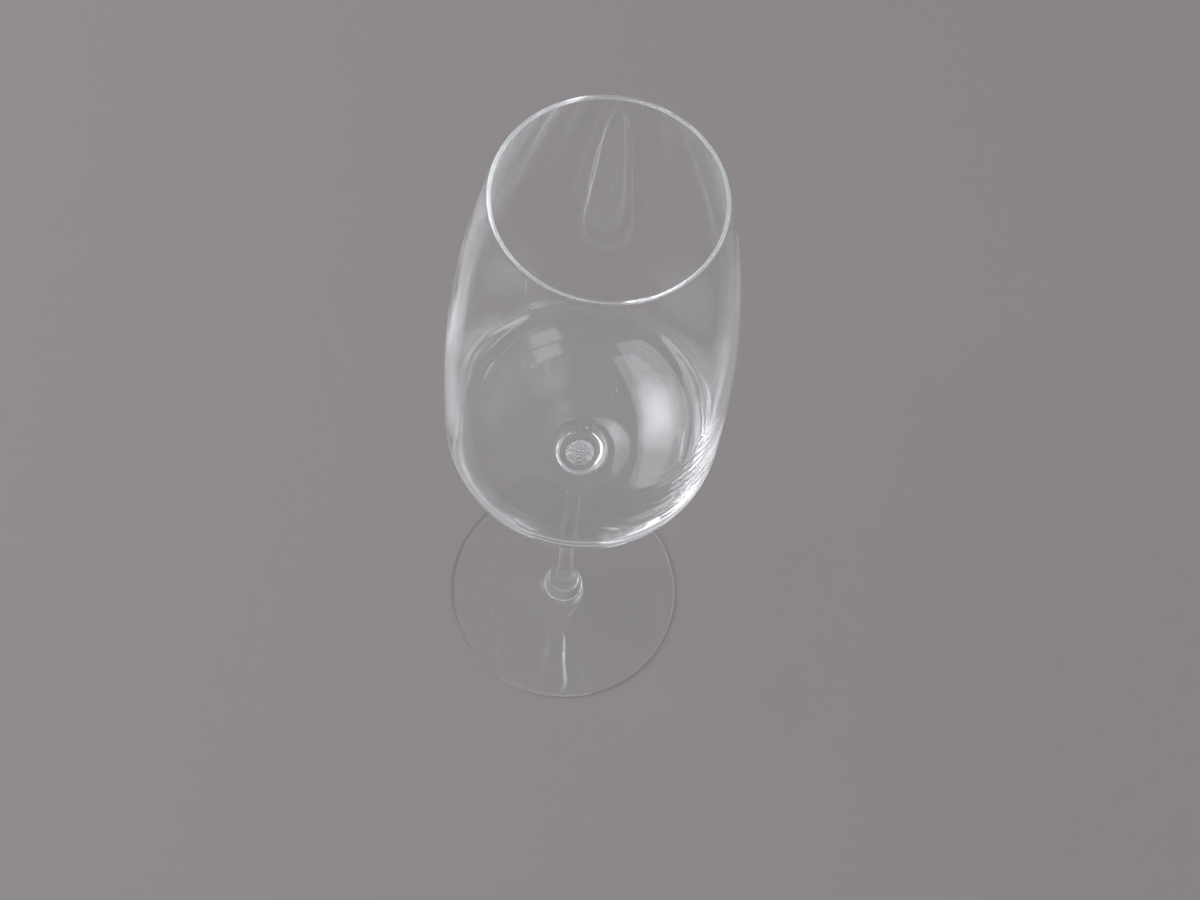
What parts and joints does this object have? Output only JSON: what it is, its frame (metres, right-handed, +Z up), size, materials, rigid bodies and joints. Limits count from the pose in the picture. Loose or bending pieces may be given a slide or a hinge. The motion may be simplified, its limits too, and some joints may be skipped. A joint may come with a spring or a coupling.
{
  "type": "stemmed wine glass",
  "caption": "Clear stemmed wine glass: tall tulip bowl drawn in to a round rim, on a thin stem that opens like a trumpet under the bowl, with a knop and a collar over a low disc foot.",
  "frame": {"origin": "centre of the foot, on the table plane that the foot stands on", "axes": "+Z up along the stem's axis, towards the rim; X and Y are any two level directions, as every piece is round"},
  "size_m": [0.0714, 0.0714, 0.235],
  "materials": {
    "clear_glass": "clear colourless glass, fire-polished"
  },
  "bodies": {
    "root": {"foot": "clear_glass", "collar": "clear_glass", "stem": "clear_glass", "bowl": "clear_glass"}
  },
  "joints": []
}
